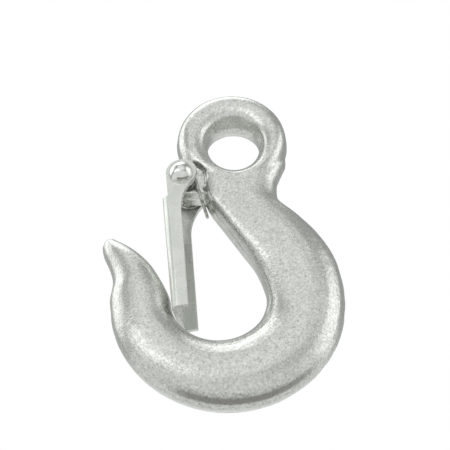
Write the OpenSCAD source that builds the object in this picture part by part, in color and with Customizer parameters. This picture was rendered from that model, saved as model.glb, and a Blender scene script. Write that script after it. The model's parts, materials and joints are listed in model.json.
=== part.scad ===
// Forged eye hook with a spring-loaded latch, hanging from its eye.
// Origin: centre of the eye's bore. +Z up, the hook's plane is XZ, its thickness runs along Y.
// The tip is on the -X side and the back of the hook is on the +X side.

/* [Eye] */
// Diameter of the bore in the eye
eye_bore_d = 18; // [16:0.5:18]
// Outside diameter of the eye
eye_outer_d = 38.2; // [37:0.2:40]
// Thickness of the eye along the bore
eye_thickness = 15.4; // [14:0.1:16]

/* [Bowl] */
// Diameter of the space inside the bowl
bowl_inner_d = 31.4; // [29:0.2:32]
// Diameter of the outside of the bowl
bowl_outer_d = 75.2; // [74:0.2:77]
// Thickness of the bowl at its bottom
bowl_thickness = 17.2; // [15.5:0.1:18]

/* [Latch] */
// Distance from the rivet to the latch's free end
latch_length = 50.4; // [44:0.2:50.4]
// Outside width of the latch channel
latch_width = 18.3; // [18.1:0.1:19]
// Thickness of the latch's sheet
latch_sheet = 1.5; // [1.2:0.1:1.5]
// Sideways lean of the loosely riveted latch, in degrees
latch_lean = 9.5; // [0:0.5:9.5]
// Backward tilt of the closed latch, in degrees
latch_tilt = 5.8; // [5.8:0.1:8]

/* [Rivet and spring] */
// Diameter of the rivet's shank
rivet_d = 4; // [3.4:0.1:4]
// Diameter of the rivet's domed head
rivet_head_d = 8.3; // [7.5:0.1:9]
// Diameter of the spring wire
wire_d = 1.1; // [0.8:0.1:1.1]

/* [Hidden] */

EPS = 0.01;
// Length of every cut that passes right through the hook
THROUGH = 40;

// Places in the hook's plane are given as [x, z].
eye_centre = [-0.5, 2.2];
pin = [-16.2, -15.8];
bowl_in = [-5.1, -59.2];
bowl_out = [-2.1, -60.3];

eye_half = eye_thickness / 2;
// The eye's mouth: [depth from the middle plane, growth over the bore's radius beside, above and below]
MOUTH = [
    [1.5, 0.02, 0.02, 0.02],
    [3.8, 0.55, 1.15, 1.85],
    [6, 1.4, 2.4, 3.5],
    [eye_half - 0.75, 2.5, 3.5, 4.6],
    [eye_half - 0.2, 4, 5, 6.1],
    [eye_half + 0.1, 6.2, 7, 7.9],
    [eye_half + 1, 6.3, 7.1, 8]
];
MOUTH_STEPS = 60;
// Radius of the soft rim round the eye's boss, and how square its section is
boss_rim = 5.4;
boss_squareness = 2.7;

// Half thickness of the bar where it enters and leaves the bowl, and at the bowl's bottom
shank_half = 8.1;
bowl_half = bowl_thickness / 2;
bowl_squareness = 2.15;
bowl_entry_squareness = 3;

// The lug carries the rivet between the latch's ears; the recess beside it clears them.
lug_r = 4.6;
lug_half = 4.1;
recess_r = 7.2;
hole_clearance = 0.06;

// Sections of the neck from the eye to the bowl:
// [back point, throat point, half thickness, squareness of the back half, squareness of the throat half]
NECK = [
    [[17.2, 0.5], [-9, -2], 5, 2.3, 2.3],
    [[17.9, -4], [-11.4, -6], 5.9, 2.4, 2.6],
    [[17.6, -7.6], [-12.4, -9], 6.7, 2.6, 3],
    [[16.1, -11.2], [-12.6, -11.6], 7.1, 3, 3.6],
    [[14.7, -15.8], [-11.2, -15.5], 7.2, 2.8, 4.6],
    [[15.6, -22.6], [-8.4, -22.9], 7.3, 2.8, 6],
    [[21.9, -28.5], [-3.5, -30.5], 7.5, 2.6, 6],
    [[29, -36.9], [1.9, -38.9], 7.8, 2.4, 5],
    [[33.8, -46.5], [7.3, -48.4], 8, 2.25, 3.4]
];
// Sections of the tip, from the bowl to the nose
TIP = [
    [[-39, -53.4], [-23.7, -53], 7.8, 2.15, 2.15],
    [[-40.5, -48.4], [-27.6, -46.9], 7.1, 2.15, 2.15],
    [[-42.5, -43.8], [-33, -41.9], 6.0, 2.2, 2.2],
    [[-43.3, -40.6], [-38.2, -38.5], 4.4, 2.1, 2.1]
];
nose_length = 1.8;

// Sections round the bowl, steps between two given sections, and points round each section
BOWL_STEPS = 9;
FINE_STEPS = 4;
AROUND = 28;

// Latch outline, with the rivet at the origin and the free end down
ear_r = 5.2;
ear_rise = 0.7;
ear_fillet_r = 16;
flange_edge = -1.2;
flange_end_edge = -1.9;
web_face = -7.4;
web_top = -8.1;
web_bend_r = 2.4;
latch_hole_clearance = 0.1;
flange_half = latch_width / 2;
flange_inner = flange_half - latch_sheet;

// Rivet: a domed head on the near side and a lower peened head on the far side
head_height = 3.9;
peen_d = 7.2;
peen_height = 1.7;
head_gap = 0.05;

// Spring: its two coils wind round the rivet between the lug and the ears.
coil_r = 3.9;
coil_pitch = wire_d + 0.02;
coil_start = 188;
coil_end = 27;
coil_turned = 360 + coil_start - coil_end;
coil_step = 15;
wire_sides = 8;
coil_clearance = 0.78;
inner_y = lug_half + wire_d / 2 + coil_clearance;
outer_y = inner_y + coil_pitch * coil_turned / 360;
// Where each end of the wire bears on the web's inner face, before and after the latch's tilt
web_clearance = 0.06;
web_rest = [web_face + latch_sheet + wire_d / 2 + web_clearance, -15];
web_touch = [
    web_rest[0] * cos(latch_tilt) - web_rest[1] * sin(latch_tilt),
    web_rest[0] * sin(latch_tilt) + web_rest[1] * cos(latch_tilt)
];
// Where the bridge between the two coils bears on the neck
bridge = [6.5, -9.2];
bridge_half = 5.9;
bend = 1.3;

function unit(v) = v / norm(v);
function polar(centre, r, a) = centre + r * [cos(a), sin(a)];
function bowl_sections() = [
    for (i = [0:BOWL_STEPS])
        let (a = -180 * i / BOWL_STEPS, half = shank_half + (bowl_half - shank_half) * sin(-a))
        [polar(bowl_out, bowl_outer_d / 2, a), polar(bowl_in, bowl_inner_d / 2, a), half,
         bowl_squareness, i == 0 ? bowl_entry_squareness : bowl_squareness]
];
// The nose closes over a quarter of an ellipse.
function nose_sections() =
    let (last = TIP[len(TIP) - 1], mid = (last[0] + last[1]) / 2, wide = (last[0] - last[1]) / 2,
         ahead = [wide[1], -wide[0]] / norm(wide))
    [for (a = [30, 55, 75, 89])
        let (c = mid + ahead * nose_length * sin(a))
        [c + wide * cos(a), c - wide * cos(a), last[2] * cos(a), 2, 2]];

// Catmull-Rom curve between b and c
function curve(a, b, c, d, t) =
    0.5 * (2 * b + (c - a) * t + (2 * a - 5 * b + 4 * c - d) * t * t + (3 * b - a - 3 * c + d) * t * t * t);
function clamped(list, i) = list[max(0, min(len(list) - 1, i))];
// A section between sections i and i + 1, on a smooth curve through all of them
function between(list, i, t) = [
    for (k = [0:4])
        curve(clamped(list, i - 1)[k], list[i][k], clamped(list, i + 1)[k], clamped(list, i + 2)[k], t)
];
function smooth_sections(list) = [
    for (i = [0:len(list) - 2])
        for (s = [0:FINE_STEPS - 1]) between(list, i, s / FINE_STEPS)
];

// Points once round a section, whose halves are each between an ellipse (squareness 2) and a rectangle
function signed_power(v, p) = sign(v) * pow(abs(v), p);
function section_points(s) =
    let (mid = (s[0] + s[1]) / 2, wide = (s[0] - s[1]) / 2)
    [for (i = [0:AROUND - 1])
        let (a = 360 * (i + 0.5) / AROUND,
             p = 2 / (cos(a) > 0 ? s[3] : s[4]),
             q = mid + wide * signed_power(cos(a), p))
        [q[0], s[2] * signed_power(sin(a), p), q[1]]];

// Skin over rings of equal count, closed at both ends
module skin(rings) {
    n = len(rings[0]);
    last = (len(rings) - 1) * n;
    polyhedron(
        points = [for (r = rings) each r],
        faces = concat(
            [[for (i = [n - 1:-1:0]) i]],
            [for (k = [0:len(rings) - 2]) for (i = [0:n - 1])
                let (j = (i + 1) % n, a = k * n)
                each [[a + i, a + n + j, a + n + i], [a + i, a + j, a + n + j]]],
            [[for (i = [0:n - 1]) last + i]]
        ),
        convexity = 6
    );
}

// Turns what was drawn about +Z, with its own +Y upwards, to lie along Y in the hook's plane
module along_y() rotate([90, 0, 0]) children();

module hook_bar() {
    body = smooth_sections(concat(NECK, bowl_sections(), TIP));
    sections = concat(body, [TIP[len(TIP) - 1]], nose_sections());
    skin([for (s = sections) section_points(s)]);
}

// Round boss with a soft rim, before the eye is opened
module eye_boss() {
    core = eye_outer_d / 2 - boss_rim;
    p = 2 / boss_squareness;
    translate([eye_centre[0], 0, eye_centre[1]]) along_y() rotate_extrude($fn = 80)
        polygon(concat(
            [[0, eye_half], [0, -eye_half]],
            [for (a = [-90:9:90])
                [core + boss_rim * pow(cos(a), p), eye_half * signed_power(sin(a), p)]]
        ));
}

// Ring round the eye's mouth: wider above and below the bore, where a link bears, than beside it
function mouth_ring(m) =
    let (r = eye_bore_d / 2)
    [for (i = [0:MOUTH_STEPS - 1])
        let (a = -360 * i / MOUTH_STEPS)
        [(r + m[1]) * cos(a), -m[0], (r + (sin(a) > 0 ? m[2] : m[3])) * sin(a)]];

// The eye's bell mouths, which open from the bore's land to both faces
module eye_mouths() {
    for (side = [0, 1]) mirror([0, side, 0])
        skin([for (m = MOUTH) mouth_ring(m)]);
}

// The bar and the eye as one skin: their faces run almost flush, so they are joined as one mesh
module forged_outline() {
    resize([0, 0, 0]) difference() {
        union() {
            hook_bar();
            eye_boss();
        }
        eye_mouths();
    }
}

module lug() {
    along_y() linear_extrude(2 * lug_half, center = true) {
        translate(pin) circle(lug_r, $fn = 64);
        polygon([polar(pin, lug_r, 150), [-16.8, -4], [-10, -9], [-6, -25], [-9.4, pin[1] - lug_r],
                 [pin[0], pin[1] - lug_r]]);
    }
}

// Space for a latch ear and a spring coil beside the lug
module ear_recess() {
    for (side = [-1, 1])
        translate([pin[0], side * (lug_half + THROUGH / 2), pin[1]]) along_y()
            cylinder(r = recess_r, h = THROUGH, center = true, $fn = 72);
}

// The straight hole is wide enough for the leaned rivet.
rivet_hole_r = rivet_d / 2 / cos(latch_lean) + lug_half * tan(latch_lean) + hole_clearance;

module hook_body() color([0.74, 0.76, 0.75]) {
    difference() {
        union() {
            difference() {
                forged_outline();
                ear_recess();
            }
            lug();
        }
        along_y() cylinder(d = eye_bore_d, h = THROUGH, center = true, $fn = 96);
        translate([pin[0], 0, pin[1]]) along_y()
            cylinder(r = rivet_hole_r, h = THROUGH, center = true, $fn = 48);
    }
}

// Places what is drawn about the rivet's own axis, with the latch's lean
module at_pin() translate([pin[0], 0, pin[1]]) rotate([0, 0, -latch_lean]) children();

// The ear's round edge runs into the flange's straight one through a fillet.
ear_centre = [0, ear_rise];
fillet_x = flange_edge + ear_fillet_r;
fillet_z = ear_rise - sqrt(pow(ear_r + ear_fillet_r, 2) - pow(fillet_x, 2));
ear_touch = ear_centre + ([fillet_x, fillet_z] - ear_centre) * ear_r / (ear_r + ear_fillet_r);

module flange_outline() {
    translate(ear_centre) circle(ear_r, $fn = 72);
    difference() {
        polygon([[-ear_r, ear_rise], ear_touch, [fillet_x, fillet_z], [flange_edge, fillet_z],
                 [flange_end_edge, -latch_length], [web_face, -latch_length],
                 [web_face, web_top], [-ear_r, web_top]]);
        translate([fillet_x, fillet_z]) circle(ear_fillet_r, $fn = 96);
    }
}

// Cross-section of the channel, open towards the hook's neck
module channel_section() {
    bend_x = web_face + web_bend_r;
    bend_y = flange_half - web_bend_r;
    difference() {
        union() {
            translate([bend_x, -flange_half]) square([THROUGH, latch_width]);
            translate([web_face, -bend_y]) square([web_bend_r + EPS, 2 * bend_y]);
            for (side = [-1, 1])
                translate([bend_x, side * bend_y]) circle(web_bend_r, $fn = 48);
        }
        translate([web_face + latch_sheet, -flange_inner]) square([2 * THROUGH, 2 * flange_inner]);
    }
}

module latch_channel() {
    intersection() {
        translate([0, 0, -latch_length - 1])
            linear_extrude(latch_length + 1 + web_top) channel_section();
        along_y() linear_extrude(latch_width + 2, center = true) flange_outline();
    }
}

module latch_ears() {
    for (side = [-1, 1])
        translate([0, side * (flange_half - latch_sheet / 2), 0]) along_y()
            linear_extrude(latch_sheet, center = true) intersection() {
                flange_outline();
                translate([-ear_r, web_top - EPS]) square(THROUGH);
            }
}

module latch() color([0.8, 0.82, 0.8]) {
    at_pin() rotate([0, -latch_tilt, 0]) difference() {
        union() {
            latch_channel();
            latch_ears();
        }
        along_y() cylinder(d = rivet_d + latch_hole_clearance, h = THROUGH, center = true, $fn = 48);
    }
}

// Cap of a ball, standing on the XY plane
module dome(d, height) {
    ball_r = (d * d / 4 + height * height) / 2 / height;
    rotate_extrude($fn = 72) intersection() {
        translate([0, height - ball_r]) circle(ball_r, $fn = 120);
        square([d, height]);
    }
}

module latch_rivet() color([0.86, 0.87, 0.87]) {
    seat = flange_half + head_gap;
    at_pin() along_y() {
        cylinder(d = rivet_d, h = 2 * seat + EPS, center = true, $fn = 48);
        translate([0, 0, seat]) dome(rivet_head_d, head_height);
        mirror([0, 0, 1]) translate([0, 0, seat]) dome(peen_d, peen_height);
    }
}

// The spring's points are given from the rivet, along the leaned axes that at_pin() sets.
// Point on one coil, a degrees after the wire comes up from the latch
function coil_point(side, a) =
    [coil_r * cos(coil_start - a), side * (outer_y - coil_pitch * a / 360), coil_r * sin(coil_start - a)];
// One half of the wire, from the latch to the middle of the bridge
function spring_half(side) =
    let (last = coil_point(side, coil_turned), corner = [bridge[0], side * bridge_half, bridge[1]],
         leg = unit(corner - last), across = [0, side, 0])
    concat(
        [for (t = [1, 0.5]) [web_touch[0] * t - coil_r * (1 - t), side * outer_y, web_touch[1] * t]],
        [for (a = [0:coil_step:coil_turned]) coil_point(side, a)],
        [last + leg, corner - leg * bend, corner - (leg + across) * bend * 0.29, corner - across * bend]
    );
function reversed(list) = [for (i = [len(list) - 1:-1:0]) list[i]];
// Rings of points round a wire, kept from twisting by carrying one side direction along
function wire_rings(path, r, sides, i = 0, side = undef) =
    i == len(path) ? [] :
    let (ahead = unit(path[min(i + 1, len(path) - 1)] - path[max(i - 1, 0)]),
         start = side == undef ? cross(ahead, [0, 1, 0]) : side,
         u = unit(start - (start * ahead) * ahead), v = cross(u, ahead))
    concat([[for (k = [0:sides - 1]) path[i] + r * (u * cos(360 * k / sides) + v * sin(360 * k / sides))]],
           wire_rings(path, r, sides, i + 1, u));

module latch_spring() color([0.62, 0.63, 0.6]) {
    at_pin() skin(wire_rings(concat(spring_half(-1), reversed(spring_half(1))), wire_d / 2, wire_sides));
}

hook_body();
latch();
latch_rivet();
latch_spring();
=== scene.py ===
import json
import math

import bmesh
import bpy
import numpy as np
from mathutils import Matrix, Vector, noise


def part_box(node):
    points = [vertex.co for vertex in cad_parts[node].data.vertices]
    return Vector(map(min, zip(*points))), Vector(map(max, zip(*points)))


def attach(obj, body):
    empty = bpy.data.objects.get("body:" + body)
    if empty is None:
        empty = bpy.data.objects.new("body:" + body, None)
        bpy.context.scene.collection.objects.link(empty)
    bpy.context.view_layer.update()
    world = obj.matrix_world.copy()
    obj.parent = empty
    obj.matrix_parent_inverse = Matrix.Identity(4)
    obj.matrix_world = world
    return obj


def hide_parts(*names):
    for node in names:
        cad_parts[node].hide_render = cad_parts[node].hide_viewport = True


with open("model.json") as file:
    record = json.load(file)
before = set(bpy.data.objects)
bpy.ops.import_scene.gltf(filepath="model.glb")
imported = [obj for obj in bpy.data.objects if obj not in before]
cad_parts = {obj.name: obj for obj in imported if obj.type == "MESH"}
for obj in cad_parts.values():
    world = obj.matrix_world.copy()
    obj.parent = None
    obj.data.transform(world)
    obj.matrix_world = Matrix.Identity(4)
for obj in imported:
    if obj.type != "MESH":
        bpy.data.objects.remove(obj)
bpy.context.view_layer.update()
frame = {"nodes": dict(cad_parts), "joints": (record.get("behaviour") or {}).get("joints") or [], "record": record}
RECORD = frame["record"]
NODES = frame["nodes"]
JOINT = {j["name"]: j for j in frame["joints"]}["latch_pivot"]
BORE = {m["name"]: m for m in RECORD["mounts"]}["eye_bore"]

PIN = Vector(JOINT["pos_m"])
PIN_AXIS = Vector(JOINT["axis"]).normalized()
BORE_R = BORE["dims"]["r_mm"] / 1000
BODY_LOW, BODY_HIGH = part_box("hook_body")

scene = bpy.context.scene
collection = scene.collection


# ---------------------------------------------------------------- node helpers

class Graph:
    """A material's node tree with short calls for the nodes used here."""

    def __init__(self, name):
        self.material = bpy.data.materials.new(name)
        self.material.use_nodes = True
        self.tree = self.material.node_tree
        self.tree.nodes.clear()
        self.out = self.tree.nodes.new("ShaderNodeOutputMaterial")
        self.coords = self.tree.nodes.new("ShaderNodeTexCoord").outputs["Object"]

    def node(self, kind, **inputs):
        made = self.tree.nodes.new(kind)
        for key, value in inputs.items():
            self.feed(made, key.replace("_", " "), value)
        return made

    def feed(self, made, key, value):
        socket = made.inputs[int(key) if key.isdigit() else key]
        if isinstance(value, bpy.types.NodeSocket):
            self.tree.links.new(value, socket)
        else:
            socket.default_value = value

    def noise(self, scale, detail, roughness, vector=None, distortion=0.0):
        made = self.node("ShaderNodeTexNoise", Vector=vector or self.coords, Scale=scale,
                         Detail=detail, Roughness=roughness, Distortion=distortion)
        return made.outputs["Fac"]

    def cells(self, scale):
        made = self.node("ShaderNodeTexVoronoi", Vector=self.coords, Scale=scale)
        return made.outputs["Distance"]

    def stretch(self, scale):
        made = self.node("ShaderNodeMapping", Vector=self.coords)
        made.inputs["Scale"].default_value = scale
        return made.outputs["Vector"]

    def ramp(self, value, low, high, out_low=0.0, out_high=1.0):
        made = self.node("ShaderNodeMapRange", Value=value, From_Min=low, From_Max=high,
                         To_Min=out_low, To_Max=out_high)
        made.interpolation_type = "SMOOTHSTEP"
        return made.outputs["Result"]

    def math(self, operation, a, b):
        made = self.tree.nodes.new("ShaderNodeMath")
        made.operation = operation
        self.feed(made, "0", a)
        self.feed(made, "1", b)
        return made.outputs[0]

    def mix(self, factor, a, b):
        made = self.tree.nodes.new("ShaderNodeMix")
        made.data_type = "RGBA"
        for key, value in (("0", factor), ("6", a), ("7", b)):
            self.feed(made, key, value)
        return made.outputs[2]

    def bump(self, height, distance, strength, normal=None):
        made = self.node("ShaderNodeBump", Height=height, Distance=distance, Strength=strength)
        if normal is not None:
            self.feed(made, "Normal", normal)
        return made.outputs["Normal"]

    def attribute(self, name):
        made = self.tree.nodes.new("ShaderNodeAttribute")
        made.attribute_name = name
        return made.outputs["Fac"]

    def finish(self, color, roughness, normal=None, metallic=1.0):
        shader = self.node("ShaderNodeBsdfPrincipled", Metallic=metallic)
        self.feed(shader, "Base Color", color)
        self.feed(shader, "Roughness", roughness)
        if normal is not None:
            self.feed(shader, "Normal", normal)
        self.tree.links.new(shader.outputs["BSDF"], self.out.inputs["Surface"])
        return self.material


# ---------------------------------------------------------------- materials

def forged_zinc():
    """Forged skin under bright zinc plate: a fine sparkle over a glossy coat, rubbed bright where a shackle
    scraped it, with a painted highlight on crests and along the flash line.
    """
    dull = (0.66, 0.67, 0.645, 1)
    bright = (0.74, 0.745, 0.725, 1)
    fleck = (0.95, 0.955, 0.94, 1)
    pit = (0.40, 0.40, 0.37, 1)
    wear_and_painted_highlight_tone = (0.93, 0.935, 0.92, 1)
    g = Graph("forged_zinc")
    cloud = g.noise(130, detail=3, roughness=0.6)
    patch = g.noise(520, detail=4, roughness=0.62, distortion=0.3)
    grain = g.noise(1350, detail=4, roughness=0.75)
    crystals = g.cells(1100)
    wear_and_painted_highlight = g.attribute("wear_and_painted_highlight")
    tone = g.math("ADD", g.math("MULTIPLY", cloud, 0.35), g.math("MULTIPLY", patch, 0.65))
    color = g.mix(g.ramp(tone, 0.34, 0.66), dull, bright)
    color = g.mix(g.ramp(grain, 0.51, 0.61, 0.0, 0.6), color, fleck)
    color = g.mix(g.ramp(grain, 0.34, 0.47, 0.75, 0.0), color, pit)
    # Lighter where the lips are scraped (real wear), and a painted highlight on crests and along the flash line.
    color = g.mix(g.math("MULTIPLY", wear_and_painted_highlight, 0.6), color, wear_and_painted_highlight_tone)
    rough = g.ramp(tone, 0.35, 0.65, 0.25, 0.17)
    rough = g.math("ADD", rough, g.ramp(grain, 0.4, 0.6, 0.05, -0.03))
    rough = g.math("ADD", rough, g.math("MULTIPLY", wear_and_painted_highlight, -0.06))
    relief = g.bump(patch, distance=0.00020, strength=0.35)
    relief = g.bump(grain, distance=0.00010, strength=0.7, normal=relief)
    relief = g.bump(crystals, distance=0.00004, strength=0.5, normal=relief)
    return g.finish(color, rough, relief)


def sheet_zinc():
    """Pressed sheet with a smooth zinc plate and faint rolling lines along its length."""
    dull = (0.74, 0.765, 0.735, 1)
    bright = (0.83, 0.85, 0.82, 1)
    rolled = (0.90, 0.91, 0.89, 1)
    along_sheet = (2600, 2600, 60)
    g = Graph("sheet_zinc")
    cloud = g.noise(110, detail=3, roughness=0.55)
    lines = g.noise(1, detail=4, roughness=0.6, vector=g.stretch(along_sheet))
    speck = g.noise(2100, detail=2, roughness=0.6)
    color = g.mix(g.ramp(cloud, 0.36, 0.64), dull, bright)
    color = g.mix(g.ramp(lines, 0.52, 0.70, 0.0, 0.30), color, rolled)
    rough = g.ramp(cloud, 0.35, 0.65, 0.30, 0.22)
    relief = g.bump(lines, distance=0.00003, strength=0.35)
    relief = g.bump(speck, distance=0.00002, strength=0.4, normal=relief)
    return g.finish(color, rough, relief, metallic=0.62)


def polished_rivet():
    """Bright plated rivet, nearly a mirror, with faint set marks."""
    dull = (0.74, 0.745, 0.72, 1)
    bright = (0.86, 0.865, 0.85, 1)
    g = Graph("polished_rivet")
    cloud = g.noise(420, detail=3, roughness=0.55)
    marks = g.noise(900, detail=2, roughness=0.5)
    color = g.mix(g.ramp(cloud, 0.35, 0.65), dull, bright)
    rough = g.ramp(cloud, 0.35, 0.65, 0.10, 0.05)
    return g.finish(color, rough, g.bump(marks, distance=0.00003, strength=0.3))


def spring_wire():
    """Drawn wire with a slightly dulled plate."""
    dull = (0.36, 0.365, 0.33, 1)
    bright = (0.58, 0.585, 0.55, 1)
    g = Graph("spring_wire")
    cloud = g.noise(500, detail=3, roughness=0.6)
    marks = g.noise(2600, detail=2, roughness=0.5)
    color = g.mix(g.ramp(cloud, 0.35, 0.65), dull, bright)
    rough = g.ramp(cloud, 0.35, 0.65, 0.36, 0.26)
    return g.finish(color, rough, g.bump(marks, distance=0.00003, strength=0.5))


def pale_floor():
    dark = (0.86, 0.86, 0.855, 1)
    pale = (0.90, 0.90, 0.895, 1)
    g = Graph("pale_floor")
    tone = g.noise(3, detail=2, roughness=0.5)
    return g.finish(g.mix(g.ramp(tone, 0.3, 0.7), dark, pale), 0.7, metallic=0.0)


def flag_card():
    dark = (0.22, 0.215, 0.205, 1)
    pale = (0.42, 0.41, 0.40, 1)
    g = Graph("flag_card")
    tone = g.noise(8, detail=2, roughness=0.5)
    return g.finish(g.mix(tone, dark, pale), 0.9, metallic=0.0)


def dress(piece, material):
    piece.data.materials.clear()
    piece.data.materials.append(material)


# ---------------------------------------------------------------- forged body

VOXEL = 0.00044
SOFTEN_ROUNDS = 6
# The dies met in the hook's middle plane and left a trimmed flash line round the outside.
FLASH_HEIGHT = 0.00028
FLASH_HALF_WIDTH = 0.0008
FLASH_STARTS = BORE_R * 1.35
FLASH_FADE = 0.003
# Low, uneven swells in the forged skin: height, and swells per metre
WAVE_HEIGHT = 0.00006
WAVE_SCALE = 220
LUMP_HEIGHT = 0.00010
LUMP_SCALE = 75
LUMP_OFFSET = Vector((3, 1, 7))
# A shackle has dragged along the top of both mouths of the eye, and left them scraped and bright.
SCRAPE_DEPTH = 0.00022
SCRAPE_RADIUS = BORE_R * 1.42
SCRAPE_HALF_WIDTH = BORE_R * 0.22
SCRAPE_OFF_MIDDLE = 0.003
SCRAPE_UP_FROM = 0.72
SCRAPE_UP_FADE = 0.2
SCRAPE_GRAIN = Vector((1500, 500, 700))
# Rounds of softening that crests are measured against, and the heights at which the painted highlight on crests
# starts and is full
CREST_ROUNDS = 12
CREST_LOW = 0.00014
CREST_HIGH = 0.00034


def mesh_arrays(mesh):
    points = np.empty(len(mesh.vertices) * 3)
    mesh.vertices.foreach_get("co", points)
    normals = np.empty(len(mesh.vertices) * 3)
    mesh.vertices.foreach_get("normal", normals)
    return points.reshape(-1, 3), normals.reshape(-1, 3)


def apply_modifiers(piece):
    bpy.context.view_layer.update()
    evaluated = piece.evaluated_get(bpy.context.evaluated_depsgraph_get())
    baked = bpy.data.meshes.new_from_object(evaluated)
    piece.modifiers.clear()
    old = piece.data
    piece.data = baked
    bpy.data.meshes.remove(old)


def standing_out(mesh):
    """How far each vertex stands out of its softened surroundings: large on crests and corners."""
    points, normals = mesh_arrays(mesh)
    ends = np.empty(len(mesh.edges) * 2, dtype=np.int64)
    mesh.edges.foreach_get("vertices", ends)
    a, b = ends.reshape(-1, 2).T
    share = np.bincount(np.concatenate((a, b)), minlength=len(points))[:, None]
    soft = points.copy()
    for _ in range(CREST_ROUNDS):
        total = [np.bincount(a, soft[b, k], len(points)) + np.bincount(b, soft[a, k], len(points))
                 for k in range(3)]
        soft = np.stack(total, axis=1) / share
    return ((points - soft) * normals).sum(axis=1)


def flash_line(points, normals):
    """How much of the flash line is at each point: most in the middle plane, none beside it."""
    edgewise = 1 - normals[:, 1] ** 2
    from_axis = np.hypot(points[:, 0], points[:, 2])
    outside = np.clip((from_axis - FLASH_STARTS) / FLASH_FADE, 0, 1)
    return np.exp(-(points[:, 1] / FLASH_HALF_WIDTH) ** 2) * edgewise * outside


def scraped_lips(points):
    """How much each point is scraped: most on the top of both mouths of the eye."""
    from_axis = np.hypot(points[:, 0], points[:, 2])
    mouth = np.exp(-((from_axis - SCRAPE_RADIUS) / SCRAPE_HALF_WIDTH) ** 2)
    mouth *= np.abs(points[:, 1]) > SCRAPE_OFF_MIDDLE
    return mouth * np.clip((points[:, 2] / from_axis - SCRAPE_UP_FROM) / SCRAPE_UP_FADE, 0, 1)


def forged_body():
    """The hook's skin, remeshed from the CAD solid, softened and given forged relief."""
    mesh = NODES["hook_body"].data.copy()
    piece = bpy.data.objects.new("forged_hook", mesh)
    collection.objects.link(piece)
    remesh = piece.modifiers.new("skin", "REMESH")
    remesh.mode = "VOXEL"
    remesh.voxel_size = VOXEL
    smooth = piece.modifiers.new("soften", "SMOOTH")
    smooth.factor = 0.5
    smooth.iterations = SOFTEN_ROUNDS
    apply_modifiers(piece)
    points, normals = mesh_arrays(piece.data)
    flash = flash_line(points, normals)
    lips = scraped_lips(points)
    waves = np.array([noise.noise(Vector(p) * WAVE_SCALE) for p in points])
    lumps = np.array([noise.noise(Vector(p) * LUMP_SCALE + LUMP_OFFSET) for p in points])
    streaks = np.array([noise.noise(Vector(p) * SCRAPE_GRAIN) for p in points])
    push = FLASH_HEIGHT * flash * (0.85 + 0.4 * waves) + WAVE_HEIGHT * waves + LUMP_HEIGHT * lumps
    push -= SCRAPE_DEPTH * lips * np.clip(streaks, -0.2, 0.6)
    points += normals * push[:, None]
    piece.data.vertices.foreach_set("co", points.ravel())
    piece.data.update()
    piece.data.shade_smooth()
    gouge = lips * np.clip(0.55 + streaks, 0, 1)
    # Crests and corners get a painted highlight, lighter the farther they stand out of their softened
    # surroundings.
    painted_crest_highlight = np.clip((standing_out(piece.data) - CREST_LOW) / (CREST_HIGH - CREST_LOW), 0, 1)
    # One attribute carries the painted highlight on the flash line and crests, and the real wear on the scraped
    # lips.
    wear_and_painted_highlight = piece.data.attributes.new("wear_and_painted_highlight", "FLOAT", "POINT")
    wear_and_painted_highlight.data.foreach_set("value", np.clip(0.8 * flash + gouge + painted_crest_highlight, 0, 1).astype(np.float32))
    dress(piece, forged_zinc())
    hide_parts("hook_body")
    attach(piece, "hook")


forged_body()


# ---------------------------------------------------------------- latch, rivet and spring

# The latch's broken edges: faces that meet at more than EDGE_OVER degrees are bevelled
EDGE_WIDTH = 0.00028
EDGE_STEPS = 3
FLAT_WITHIN = 1
EDGE_OVER = 35

# The spring is drawn in metres from the rivet's centre, along the rivet's leaned axes.
LEAN = math.atan2(-PIN_AXIS.x, -PIN_AXIS.y)
WIRE_R = 0.00055
COIL_R = 0.0039
COIL_PITCH = 0.00112
COIL_START = 188
COIL_TURNED = 521
# The coil is cut in two: its outer end turns with the latch, its inner end stays with the hook,
# and the two lie inside each other by more than the latch's travel.
OUTER_COIL_END = 300
OUTER_STEP = 6
INNER_COIL_START = 262
INNER_STEP = 7
INNER_Y = 0.00543
OUTER_Y = INNER_Y + COIL_PITCH * COIL_TURNED / 360
BRIDGE = Vector((0.0065, 0.0059, -0.0092))
BRIDGE_BEND = 0.0013
BEND_STEPS = 6
LEG_END = Vector((-0.00372, 0, -0.01545))


def broken_edges(piece):
    """Rounds the sharp edges of a CAD piece, after its flat faces are made whole."""
    weld = piece.modifiers.new("joined_faces", "WELD")
    weld.merge_threshold = 0.000004
    flat = piece.modifiers.new("whole_faces", "DECIMATE")
    flat.decimate_type = "DISSOLVE"
    flat.angle_limit = math.radians(FLAT_WITHIN)
    bevel = piece.modifiers.new("broken_edges", "BEVEL")
    bevel.width = EDGE_WIDTH
    bevel.segments = EDGE_STEPS
    bevel.limit_method = "ANGLE"
    bevel.angle_limit = math.radians(EDGE_OVER)


def leaned(point):
    """From the rivet's own axes, along which the spring is wound, to the frame."""
    return PIN + Matrix.Rotation(-LEAN, 3, "Z") @ point


def coil_point(side, turned):
    """Point on one coil, so many degrees on from where its leg joins it."""
    angle = math.radians(COIL_START - turned)
    return Vector((COIL_R * math.cos(angle), side * (OUTER_Y - COIL_PITCH * turned / 360),
                   COIL_R * math.sin(angle)))


def swept_wire(name, path):
    """Mesh of a round wire along a path, closed at both ends."""
    curve = bpy.data.curves.new(name, "CURVE")
    curve.dimensions = "3D"
    curve.bevel_depth = WIRE_R
    curve.bevel_resolution = 5
    curve.use_fill_caps = True
    line = curve.splines.new("POLY")
    line.points.add(len(path) - 1)
    for spot, point in zip(line.points, path):
        spot.co = (*leaned(point), 1)
    drawn = bpy.data.objects.new(name, curve)
    collection.objects.link(drawn)
    bpy.context.view_layer.update()
    mesh = bpy.data.meshes.new_from_object(drawn.evaluated_get(bpy.context.evaluated_depsgraph_get()))
    bpy.data.objects.remove(drawn)
    return mesh


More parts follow.
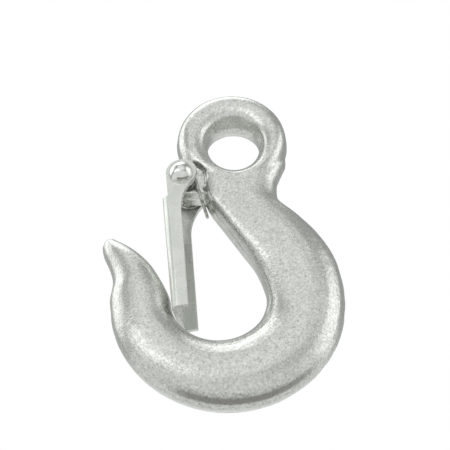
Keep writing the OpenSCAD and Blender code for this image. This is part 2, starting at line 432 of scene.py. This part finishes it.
def wire(name, path, body, material):
    piece = bpy.data.objects.new(name, swept_wire(name, path))
    collection.objects.link(piece)
    piece.data.shade_smooth()
    dress(piece, material)
    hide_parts("latch_spring")
    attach(piece, body)


def rounded(corner, before, after, radius):
    """Points of a quadratic bend round one corner of a wire."""
    start = corner + (before - corner).normalized() * radius
    end = corner + (after - corner).normalized() * radius
    parts = [k / BEND_STEPS for k in range(BEND_STEPS + 1)]
    return [start.lerp(corner, t).lerp(corner.lerp(end, t), t) for t in parts]


def spring():
    """The latch's torsion spring: two coils joined by a bridge, each with a leg down to the latch."""
    steel = spring_wire()
    bridge = []
    for side, name in ((-1, "near"), (1, "far")):
        outer = [coil_point(side, a) for a in range(0, OUTER_COIL_END + 1, OUTER_STEP)]
        foot = Vector((LEG_END.x, side * OUTER_Y, LEG_END.z))
        wire("spring_leg_" + name, [foot, foot.lerp(outer[0], 0.5)] + outer, "latch", steel)
        inner = [coil_point(side, a) for a in range(INNER_COIL_START, COIL_TURNED + 1, INNER_STEP)]
        corner = Vector((BRIDGE.x, side * BRIDGE.y, BRIDGE.z))
        middle = Vector((BRIDGE.x, 0, BRIDGE.z))
        half = inner + rounded(corner, inner[-1], middle, BRIDGE_BEND)
        bridge += half if side < 0 else half[::-1]
    wire("spring_bridge", bridge, "hook", steel)


dress(NODES["latch"], sheet_zinc())
broken_edges(NODES["latch"])
dress(NODES["latch_rivet"], polished_rivet())
spring()


# ---------------------------------------------------------------- floor, light and camera

# The camera's place in metres, its tilt above level in degrees and its lens in millimetres
CAMERA_PLACE = (-0.00295, -0.3132, -0.2341)
CAMERA_RISE = 33
CAMERA_LENS = 88.96
# The floor's height, and half its width
FLOOR_Z = -0.5
FLOOR_HALF = 3
FLAG_PLACE = (0.32, 0.0, -0.46)
FLAG_SIZE = (1.30, 0.32)
KEY_PLACE = (-0.1, -0.55, 0.85)
KEY_SIZE = (0.35, 0.3)
KEY_POWER = 0.01
WORLD_BASE = 0.40
WORLD_COLOR = (0.985, 1.0, 0.975, 1)
# Each soft light in the surroundings: its direction, the angles off it at which it starts and is full,
# and its strength
WORLD_LOBES = [
    ((0, -0.93, 0.37), 40, 6, 0.50),
    ((-0.22, -0.36, 0.90), 24, 8, 0.45),
    ((-0.14, -0.06, 0.99), 32, 12, 1.05),
    ((-0.60, -0.76, -0.20), 36, 14, 1.05),
    ((0.88, -0.34, 0.30), 34, 10, 0.95),
    ((-0.84, 0.10, 0.54), 38, 14, 1.00),
    ((0.80, 0.20, -0.55), 50, 15, 0.90),
    ((0, 1.0, -0.3), 60, 20, 0.45),
]


def sheet(name, cells, half):
    """A flat square mesh in the XY plane."""
    mesh = bpy.data.meshes.new(name)
    build = bmesh.new()
    bmesh.ops.create_grid(build, x_segments=cells, y_segments=cells, size=half)
    build.to_mesh(mesh)
    build.free()
    piece = bpy.data.objects.new(name, mesh)
    collection.objects.link(piece)
    return piece


def floor():
    piece = sheet("studio_floor", 24, FLOOR_HALF)
    piece.location.z = FLOOR_Z
    dress(piece, pale_floor())


def softbox(name, place, target, size, power):
    light = bpy.data.lights.new(name, "AREA")
    light.shape = "RECTANGLE"
    light.size, light.size_y = size
    light.energy = power
    lamp = bpy.data.objects.new(name, light)
    lamp.location = place
    lamp.rotation_euler = (Vector(target) - Vector(place)).to_track_quat("-Z", "Y").to_euler()
    collection.objects.link(lamp)


def studio_world():
    """Grey surroundings for the metal to mirror, with soft lights round it; the camera sees them white."""
    world = bpy.data.worlds.new("studio")
    scene.world = world
    world.use_nodes = True
    tree = world.node_tree
    tree.nodes.clear()
    out = tree.nodes.new("ShaderNodeOutputWorld")
    direction = tree.nodes.new("ShaderNodeTexCoord").outputs["Generated"]

    def lobe(towards, start, full, strength):
        dot = tree.nodes.new("ShaderNodeVectorMath")
        dot.operation = "DOT_PRODUCT"
        tree.links.new(direction, dot.inputs[0])
        dot.inputs[1].default_value = Vector(towards).normalized()
        near = tree.nodes.new("ShaderNodeMapRange")
        near.interpolation_type = "SMOOTHSTEP"
        near.inputs["From Min"].default_value = math.cos(math.radians(start))
        near.inputs["From Max"].default_value = math.cos(math.radians(full))
        near.inputs["To Max"].default_value = strength
        tree.links.new(dot.outputs["Value"], near.inputs["Value"])
        return near.outputs["Result"]

    total = None
    for towards, start, full, strength in WORLD_LOBES:
        one = lobe(towards, start, full, strength)
        if total is None:
            total = one
            continue
        add = tree.nodes.new("ShaderNodeMath")
        tree.links.new(total, add.inputs[0])
        tree.links.new(one, add.inputs[1])
        total = add.outputs[0]
    base = tree.nodes.new("ShaderNodeMath")
    base.inputs[1].default_value = WORLD_BASE
    tree.links.new(total, base.inputs[0])
    lit = tree.nodes.new("ShaderNodeBackground")
    lit.inputs["Color"].default_value = WORLD_COLOR
    tree.links.new(base.outputs[0], lit.inputs["Strength"])
    seen = tree.nodes.new("ShaderNodeBackground")
    seen.inputs["Color"].default_value = (1, 1, 1, 1)
    path = tree.nodes.new("ShaderNodeLightPath")
    mix = tree.nodes.new("ShaderNodeMixShader")
    tree.links.new(path.outputs["Is Camera Ray"], mix.inputs["Fac"])
    tree.links.new(lit.outputs["Background"], mix.inputs[1])
    tree.links.new(seen.outputs["Background"], mix.inputs[2])
    tree.links.new(mix.outputs["Shader"], out.inputs["Surface"])


def dark_flag():
    """A grey card level under the hook, seen only in the metal's reflections."""
    piece = sheet("dark_flag", 6, 0.5)
    piece.scale = (FLAG_SIZE[0], FLAG_SIZE[1], 1)
    piece.location = FLAG_PLACE
    piece.visible_camera = False
    piece.visible_diffuse = False
    piece.visible_shadow = False
    dress(piece, flag_card())


def camera():
    """Looks up at the hook from the front, from 33 degrees below its own level."""
    data = bpy.data.cameras.new("camera")
    data.sensor_width = 36
    data.lens = CAMERA_LENS
    data.clip_start = 0.01
    eye = bpy.data.objects.new("camera", data)
    eye.location = CAMERA_PLACE
    eye.rotation_euler = (math.radians(90 + CAMERA_RISE), 0, 0)
    collection.objects.link(eye)
    scene.camera = eye


floor()
studio_world()
dark_flag()
MIDDLE = (BODY_LOW + BODY_HIGH) / 2
softbox("key_top", KEY_PLACE, MIDDLE, KEY_SIZE, KEY_POWER)
camera()
scene.view_settings.view_transform = "Standard"
